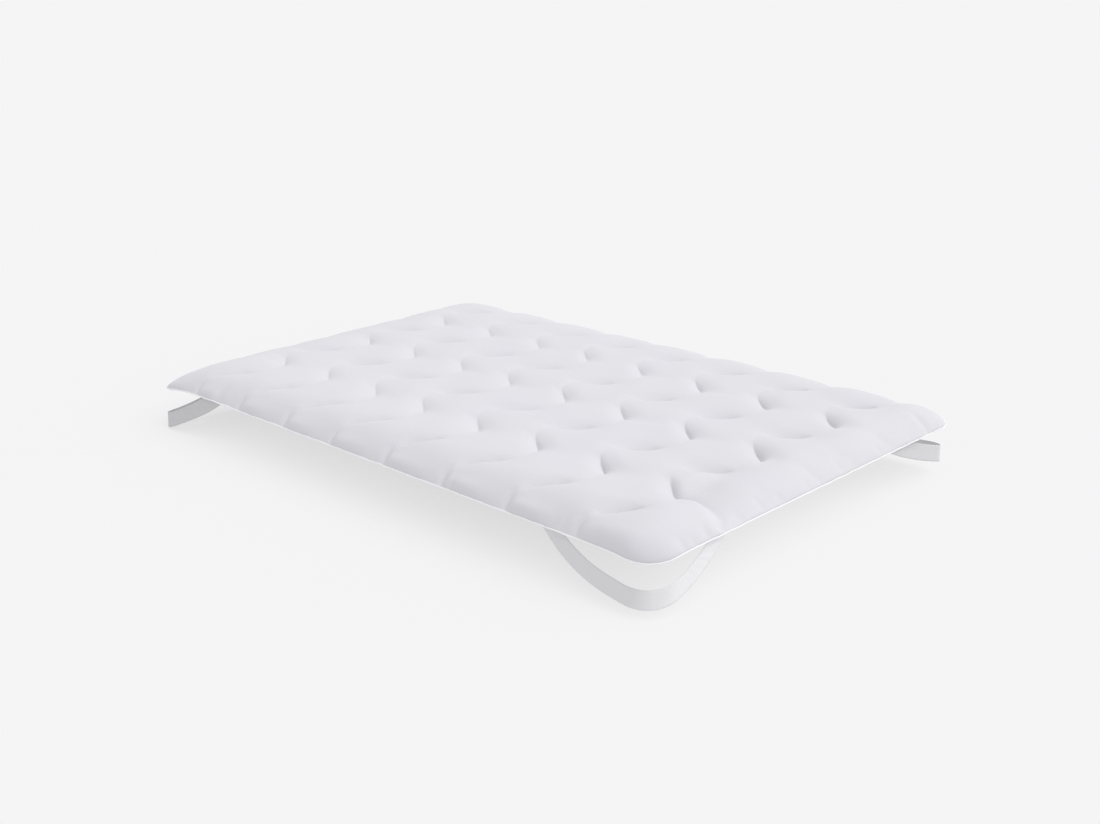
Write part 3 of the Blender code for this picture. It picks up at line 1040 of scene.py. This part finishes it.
def stitch_row(path, ways_out, margin):
    """Centre lines of a row of stitches along a path, (stitches, 5, 3), and their ways out."""
    way = lengths(path, 0)
    count = int((way[-1] - 2 * margin) / STITCH_PITCH)
    middles = way[-1] / 2 + (np.arange(count) - (count - 1) / 2) * STITCH_PITCH
    at = middles[:, None] + STATIONS * STITCH_LENGTH / 2
    centre = np.stack([np.interp(at, way, path[:, axis]) for axis in range(3)], -1)
    out = np.stack([np.interp(at, way, ways_out[:, axis]) for axis in range(3)], -1)
    lift = STITCH_LIFT - STITCH_DIP * STATIONS**2
    return centre + out * lift[:, None], out


def upwards(path):
    """Ways up at right angles to a path: its own way crossed with the level way beside it."""
    ahead = np.gradient(path, axis=0)
    beside = np.stack((-ahead[:, 1], ahead[:, 0], 0 * ahead[:, 0]), -1)
    up = np.cross(ahead, beside)
    return up / np.linalg.norm(up, axis=1, keepdims=True)


def thread_mesh(name, rows):
    """One mesh of all stitches in some rows, each a small tube of four sides."""
    centre, out = (np.concatenate(part) for part in zip(*rows))
    beside = np.cross(out, np.gradient(centre, axis=1))
    beside /= np.linalg.norm(beside, axis=-1, keepdims=True)
    angle = np.arange(4)[:, None] * math.pi / 2 + math.pi / 4
    square = np.cos(angle) * beside[:, :, None] + np.sin(angle) * out[:, :, None]
    points = centre[:, :, None] + THREAD_RADIUS * square
    index = np.arange(20).reshape(5, 4)
    one = np.concatenate((cells(closed(index, 1)), [index[0], index[-1, ::-1]]))
    quads = one + 20 * np.arange(len(centre))[:, None, None]
    u, v = np.meshgrid(STATIONS * STITCH_LENGTH / 2, np.arange(5) * THREAD_SIDE, indexing="ij")
    one_uv = np.concatenate((cells(np.stack((u, v), -1)), np.zeros((2, 4, 2))))
    uv = np.tile(one_uv, (len(centre), 1, 1))
    return add_mesh(name, points.reshape(-1, 3), quads.reshape(-1, 4), uv, thread_finish)


seam_columns = np.arange(1, SEAMS + 1) * COLUMNS_IN_STRIP
top_rows = [stitch_row(top[k], upwards(top[k]), TOP_MARGIN) for k in seam_columns]
under_rows = [stitch_row(under[k], -upwards(under[k]), UNDER_MARGIN) for k in seam_columns]
for name, rows in (("stitches_on_top", top_rows), ("stitches_below", under_rows)):
    stitches = thread_mesh(name, rows)
    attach(stitches, "root")
    print(name, sum(len(row[0]) for row in rows), "stitches")

# %% [markdown]
# The ends of each strap are sewn with three short rows, close below the edge.

# %% Sew the ends of the straps
END_ROWS = (0.004, 0.008, 0.012)
END_MARGIN = 0.006
END_POINTS = 30

rows = []
for node, side_x, side_y, reach_x, reach_y, drop, lowest, bow_x, bow_y, radius in STRAPS:
    saving = radius * (1 - math.pi / 4)
    ends = ((-1, reach_x + lowest - saving, bow_x), (1, reach_y - lowest - saving, bow_y))
    for turn, reach, bow in ends:
        slope = bow * drop / reach
        width = STRAP_WIDTH * math.sqrt(1 + slope**-2)
        for below in END_ROWS:
            inwards = below / slope + np.linspace(END_MARGIN, width - END_MARGIN, END_POINTS)
            along = lowest + turn * (reach - inwards)
            line, ways_out = below_edge(side_x, side_y, along, STRAP_TOP - below, radius)
            rows.append(stitch_row(drooped(line) + ways_out * STRAP_THICKNESS / 2, ways_out, 0.0))
strap_stitches = thread_mesh("stitches_on_straps", rows)
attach(strap_stitches, "root")
print("strap ends", sum(len(row[0]) for row in rows), "stitches")
